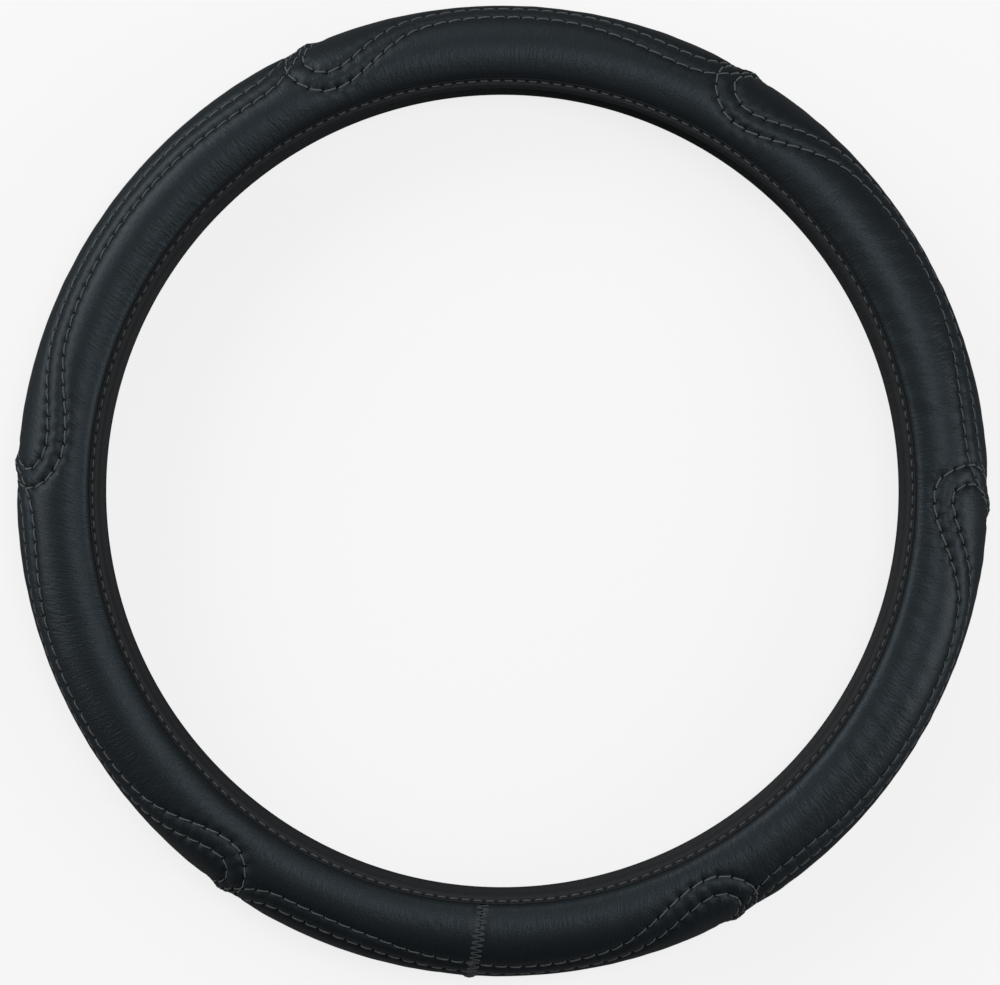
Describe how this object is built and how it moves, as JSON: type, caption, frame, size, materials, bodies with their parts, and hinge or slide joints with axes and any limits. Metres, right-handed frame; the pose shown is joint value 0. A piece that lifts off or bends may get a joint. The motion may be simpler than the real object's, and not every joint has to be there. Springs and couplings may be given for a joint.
{
  "type": "steering wheel cover",
  "caption": "Slip-on steering wheel cover: quilted foam-backed leather-look sleeve round a ribbed rubber ring, edges bound with tape.",
  "frame": {"origin": "centre of the ring, on the surface that the cover's back lies on", "axes": "+Z out of the face, +Y to twelve o'clock, +X to three o'clock as the driver sees it"},
  "size_m": [0.39, 0.3884, 0.0388],
  "materials": {
    "leather": "semi-matt black leather-look sheet, fine grain",
    "rubber": "matt black moulded rubber",
    "tape": "smooth matt charcoal binding"
  },
  "bodies": {
    "root": {"quilted_sleeve": "leather", "rubber_ring": "rubber", "face_edge_tape": "tape", "back_edge_tape": "tape"}
  },
  "joints": []
}
